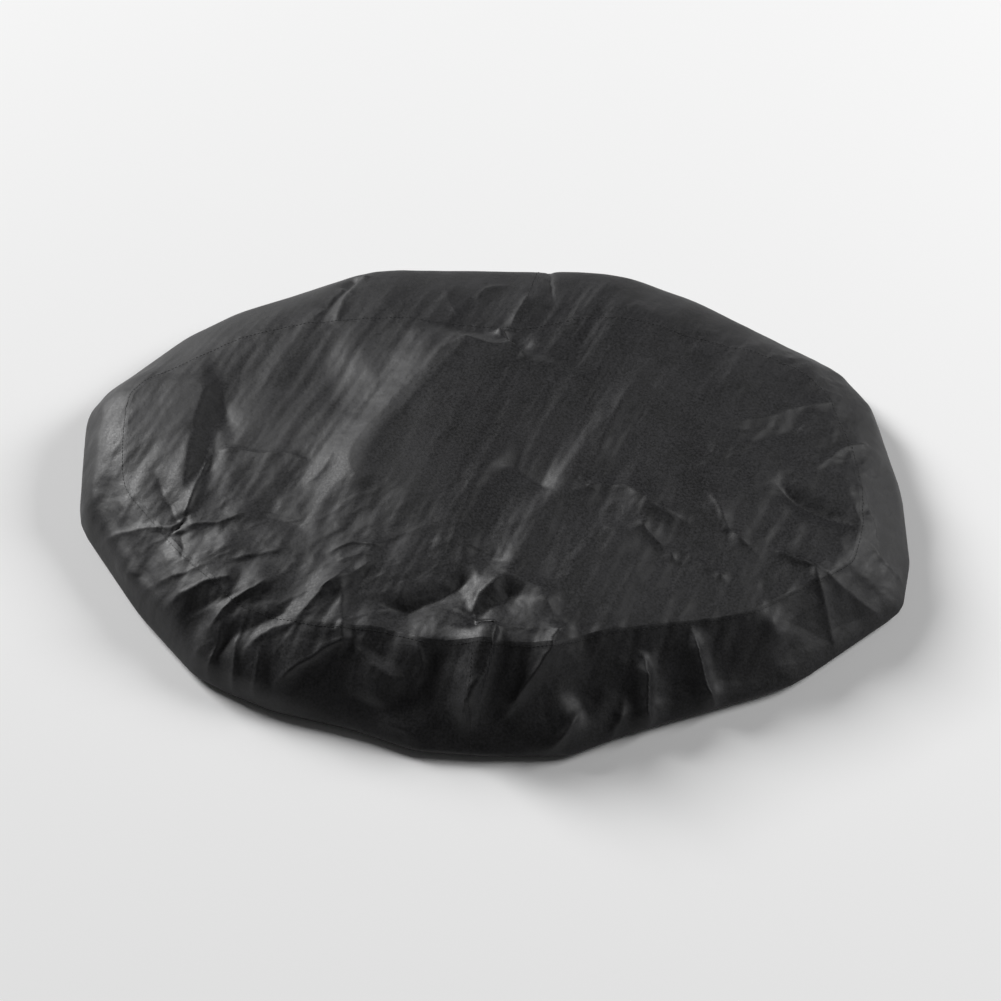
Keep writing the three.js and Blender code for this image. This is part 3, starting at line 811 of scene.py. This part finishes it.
def hem_elastic():
    """A flat woven elastic, gathered with the hem, whose ends lap over each other."""
    splice = direction_of("elastic_splice_stitching")
    lap = math.radians(2.4)
    share = np.linspace(0, 1, HEM_COLUMNS + 1)
    turn = splice - lap / 2 + share * (TURN + lap)
    level = 0.0015 * smooth(share, 1 - 3 * lap / TURN, 1 - 1.2 * lap / TURN)
    low, high = CASING_INSET + 0.012, CASING_INSET + 0.012 + ELASTIC_WIDTH
    middle = (low + high) / 2
    under = [(high, 0), (middle, -0.00015)]
    over = [(low, ELASTIC_THICK), (middle, ELASTIC_THICK + 0.00015), (high, ELASTIC_THICK)]
    section = [(low, 0), *over, *under]
    lines = np.stack([at_hem(turn, d, 0.0016 + z + level) for d, z in section], 1)
    faces = grid_faces(*lines.shape[:2], closed_columns=True)
    last = lines.shape[0] * len(section)
    ends = [[0, 1, 2, 5], [2, 3, 4, 5]]
    tail = [[last - 6 + k for k in reversed(end)] for end in ends]
    faces = np.vstack([faces[:, ::-1], ends, tail])
    return add_piece("hem_elastic_band", lines.reshape(-1, 3), faces, ribbed_elastic, 0, ["hem_elastic"])


THREAD = 0.00022  # radius
STITCH = 0.0028  # length
STITCH_PITCH = 0.0038


def stitches(rows):
    """Points and quads of stitching along rows of (points, normals) on the cloth."""
    all_co, all_faces, base = [], [], 0
    for path, normal in rows:
        run = np.r_[0, np.cumsum(np.linalg.norm(np.diff(path, axis=0), axis=1))]
        start = np.arange(0.001, run[-1] - STITCH, STITCH_PITCH)
        share = np.array([0, 0.12, 0.5, 0.88, 1.0])
        place = start[:, None] + STITCH * share
        co = np.stack([np.interp(place, run, path[:, k]) for k in range(3)], 2)
        up = unit(np.stack([np.interp(place, run, normal[:, k]) for k in range(3)], 2))
        onwards = unit(np.gradient(co, axis=1))
        side = np.cross(onwards, up)
        co = co + up * (THREAD * np.array([-1.4, 0.5, 0.9, 0.5, -1.4]))[None, :, None]
        width = THREAD * np.array([0.6, 1, 1.05, 1, 0.6])[None, :, None]
        loop = []
        for turn in np.arange(6) * TURN / 6:
            loop.append(co + width * (math.cos(turn) * up + math.sin(turn) * side))
        co = np.stack(loop, 2).reshape(-1, 3)
        tube = grid_faces(5, 6, closed_columns=True)
        caps = np.array([[0, 1, 2, 3], [0, 3, 4, 5], [27, 26, 25, 24], [29, 28, 27, 24]])
        one = np.vstack([tube, caps])
        faces = one[None] + 30 * np.arange(len(start))[:, None, None]
        all_co.append(co)
        all_faces.append(faces.reshape(-1, 4) + base)
        base += len(co)
    return np.vstack(all_co), np.vstack(all_faces)


def at_distance(lines, distance):
    """The points and normals at a distance along each line; lines is (points, lines) of fine points."""
    length = np.linalg.norm(np.diff(fine[lines], axis=0), axis=2)
    run = np.vstack([np.zeros(lines.shape[1]), np.cumsum(length, axis=0)])
    step = np.argmax(run > distance, axis=0) - 1
    pick = np.arange(lines.shape[1])
    share = ((distance - run[step, pick]) / (run[step + 1, pick] - run[step, pick]))[:, None]
    first, second = lines[step, pick], lines[step + 1, pick]
    place = fine[first] * (1 - share) + fine[second] * share
    return place, unit(fine_normals[first] * (1 - share) + fine_normals[second] * share)


TOPSTITCH = 0.004


def stitching(name, rows, replaces):
    return add_piece(name, *stitches(rows), sewing_thread, 0, [replaces])


def all_stitching():
    place, normal = at_distance(band[:20], TOPSTITCH)
    place, normal = (np.vstack([v, v[:1]]) for v in (place, normal))
    stitching("top_seam_stitches", [(place, normal)], "top_seam_stitching")
    for name, column, replaces in (
        ("rear_join_stitches", 0, "rear_join_stitching"),
        ("front_join_stitches", front_column, "front_join_stitching"),
    ):
        across = band[6 : 2 * (WIDEST_RING + 8), (2 * column + np.arange(6)) % (2 * COLUMNS)]
        stitching(name, [at_distance(across.T, TOPSTITCH)], replaces)
    turn = np.append(np.arange(HEM_COLUMNS), 0) * TURN / HEM_COLUMNS
    up = np.tile((0.0, 0.0, 1.0), (len(turn), 1))
    inset = CASING_INSET + 0.0045
    rows = [(at_hem(turn, inset, 0.0029), up), (at_hem(turn, inset, 0.00095), -up)]
    stitching("hem_stitches", rows, "hem_stitching")


# ---- materials ----

PLAIN = {"operation", "data_type"}  # settings of a node, and not its sockets


class Material:
    """A short way to build a material from nodes."""

    def __init__(self, name):
        self.material = bpy.data.materials.new(name)
        self.material.use_nodes = True
        self.tree = self.material.node_tree
        self.shader = self.tree.nodes["Principled BSDF"]
        self.place = self.add("ShaderNodeTexCoord").outputs["Object"]

    def add(self, kind, *numbered, **named):
        node = self.tree.nodes.new(kind)
        for key in PLAIN & named.keys():
            setattr(node, key, named.pop(key))
        for socket, value in [(node.inputs[k], v) for k, v in enumerate(numbered)] + [
            (node.inputs[k.replace("_", " ")], v) for k, v in named.items()
        ]:
            self.give(socket, value)
        return node

    def give(self, socket, value):
        if isinstance(value, bpy.types.NodeSocket):
            self.tree.links.new(value, socket)
        else:
            socket.default_value = value

    def maths(self, operation, a, b=0.0):
        return self.add("ShaderNodeMath", a, b, operation=operation).outputs[0]

    def noise(self, per_metre, detail=3.0, roughness=0.5, squeeze=None):
        place = self.place
        if squeeze:
            place = self.add("ShaderNodeMapping", Vector=place, Scale=squeeze).outputs[0]
        sockets = {"Vector": place, "Scale": per_metre, "Detail": detail, "Roughness": roughness}
        return self.add("ShaderNodeTexNoise", **sockets).outputs[0]

    def between(self, value, low, high, first, last):
        """value brought from low..high to first..last."""
        keys = ("Value", "From_Min", "From_Max", "To_Min", "To_Max")
        node = self.add("ShaderNodeMapRange", **dict(zip(keys, (value, low, high, first, last))))
        return node.outputs[0]

    def weave(self, per_metre):
        """Two sets of threads at right angles, lying on the plan."""
        parts = self.add("ShaderNodeSeparateXYZ", self.place)
        turns = [self.maths("MULTIPLY", parts.outputs[k], TURN * per_metre) for k in (0, 1)]
        return self.maths("MULTIPLY", *(self.maths("SINE", turn) for turn in turns))

    def bump(self, height, strength, distance, below=None):
        named = {} if below is None else {"Normal": below}
        node = self.add("ShaderNodeBump", Height=height, Strength=strength, Distance=distance, **named)
        return node.outputs[0]

    def finish(self, colour, dark, light, rough, roughness, normal, specular, sheen):
        """colour and rough, from 0 to 1, choose between dark and light, and the two roughnesses."""
        mix = self.add("ShaderNodeMix", data_type="RGBA")
        self.give(mix.inputs["Factor"], colour)
        mix.inputs[6].default_value = (*dark, 1)
        mix.inputs[7].default_value = (*light, 1)
        self.give(self.shader.inputs["Base Color"], mix.outputs[2])
        self.give(self.shader.inputs["Roughness"], self.between(rough, 0, 1, *roughness))
        self.give(self.shader.inputs["Normal"], normal)
        self.shader.inputs["Specular IOR Level"].default_value = specular
        self.shader.inputs["Sheen Weight"].default_value = sheen
        self.shader.inputs["Sheen Roughness"].default_value = 0.5
        return self.material


def coated(name, dark, light, roughness, specular):
    """Tightly woven cloth under a thin coating, faintly mottled, with tiny creases."""
    cloth = Material(name)
    grain = cloth.noise(480, 2.0, 0.65)
    mottle = cloth.maths("MULTIPLY", cloth.noise(30, 5.0, 0.6), 0.5)
    worn = cloth.maths("MULTIPLY", cloth.noise(14, 4.0, 0.6, squeeze=(1.0, 0.35, 1.0)), 1.2)
    threads = cloth.maths("MULTIPLY", cloth.weave(1300), 0.2)
    colour = cloth.between(cloth.maths("ADD", grain, mottle), 0.56, 0.94, 0, 1)
    rough = cloth.between(cloth.maths("ADD", worn, grain), 0.75, 1.45, 0, 1)
    fine_bump = cloth.bump(cloth.maths("ADD", threads, grain), 0.4, 0.00020)
    creased = cloth.bump(cloth.noise(170, 3.0, 0.5), 0.4, 0.0007, fine_bump)
    return cloth.finish(colour, dark, light, rough, roughness, creased, specular, 0.0)


def ribbed(name, colour, roughness, per_metre):
    """Matt woven tape, elastic or twisted thread."""
    woven = Material(name)
    grain = woven.noise(900, 2.0)
    normal = woven.bump(woven.maths("ADD", woven.weave(per_metre), grain), 0.8, 0.0003)
    dark, light = ([c * share for c in colour] for share in (0.65, 1.35))
    rough = (roughness - 0.06, roughness + 0.06)
    shade = woven.between(grain, 0.3, 0.7, 0, 1)
    return woven.finish(shade, dark, light, woven.noise(80), rough, normal, 0.3, 0.1)


coated_cloth = coated(
    "coated_cloth", (0.0005, 0.0005, 0.0008), (0.0175, 0.0172, 0.0190), (0.46, 0.68), 0.50
)
casing_cloth = coated(
    "casing_cloth", (0.0030, 0.0030, 0.0034), (0.0190, 0.0187, 0.0205), (0.60, 0.75), 0.25
)
binding_tape = ribbed("binding_tape", (0.012, 0.012, 0.013), 0.85, 700)
ribbed_elastic = ribbed("ribbed_elastic", (0.020, 0.020, 0.022), 0.80, 1100)
sewing_thread = ribbed("sewing_thread", (0.013, 0.013, 0.014), 0.60, 2500)

top = panel("top_panel_cloth", TOP, ["top_panel"])
left = panel("side_band_left_cloth", LEFT, ["side_band_left"])
right = panel("side_band_right_cloth", RIGHT, ["side_band_right"])
seam_tape = seam_binding()
front_tape = join_binding("front_join_tape", front_column, "front_join_binding")
rear_tape = join_binding("rear_join_tape", 0, "rear_join_binding")
casing = hem_casing()
elastic = hem_elastic()
all_stitching()
nodes["elastic_splice_stitching"].data.materials.clear()
nodes["elastic_splice_stitching"].data.materials.append(sewing_thread)

# ---- stage, light and camera ----


def stage():
    half = 6.0
    corners = [(-half, -half, 0), (half, -half, 0), (half, half, 0), (-half, half, 0)]
    mesh = mesh_of("floor", corners, [(0, 1, 2, 3)])
    floor = placed("floor", mesh)
    material = bpy.data.materials.new("floor")
    material.use_nodes = True
    shader = material.node_tree.nodes["Principled BSDF"]
    shader.inputs["Base Color"].default_value = (0.92, 0.92, 0.92, 1)
    shader.inputs["Roughness"].default_value = 0.9
    mesh.materials.append(material)


def area_light(name, place, size, power):
    light = bpy.data.lights.new(name, "AREA")
    light.shape = "RECTANGLE"
    light.size, light.size_y = size
    light.energy = power
    lamp = placed(name, light)
    lamp.location = place
    lamp.rotation_euler = (-Vector(place)).to_track_quat("-Z", "Y").to_euler()


def world_light(strength, seen):
    """Even light from all round. The backdrop that the camera sees is paler than the light it gives."""
    world = bpy.data.worlds.new("world")
    world.use_nodes = True
    tree = world.node_tree
    light = tree.nodes["Background"]
    light.inputs["Color"].default_value = (1, 1, 1, 1)
    light.inputs["Strength"].default_value = strength
    backdrop = tree.nodes.new("ShaderNodeBackground")
    backdrop.inputs["Strength"].default_value = seen
    choose = tree.nodes.new("ShaderNodeMixShader")
    ray = tree.nodes.new("ShaderNodeLightPath")
    tree.links.new(ray.outputs["Is Camera Ray"], choose.inputs["Fac"])
    tree.links.new(light.outputs[0], choose.inputs[1])
    tree.links.new(backdrop.outputs[0], choose.inputs[2])
    tree.links.new(choose.outputs[0], tree.nodes["World Output"].inputs["Surface"])
    bpy.context.scene.world = world


stage()
area_light("key", (-5.6, 4.7, 4.0), (3.2, 2.8), 790)
area_light("fill", (3.3, 0.7, 2.3), (2.0, 1.6), 96)
world_light(0.05, 0.95)
bpy.context.scene.view_settings.view_transform = "Standard"

AIM = Vector((0.0075, -0.0221, 0.035))
DISTANCE = 2.2
ELEVATION = math.radians(49.7)
camera_data = bpy.data.cameras.new("camera")
camera_data.sensor_width = 36
camera_data.lens = 86.14
camera_data.clip_end = 50
camera = placed("camera", camera_data)
back = Vector((0, -math.cos(ELEVATION), math.sin(ELEVATION)))
camera.location = AIM + DISTANCE * back
camera.rotation_euler = (-back).to_track_quat("-Z", "Y").to_euler()
camera_data.shift_x = 0.0035
camera_data.shift_y = -0.0040
bpy.context.scene.camera = camera
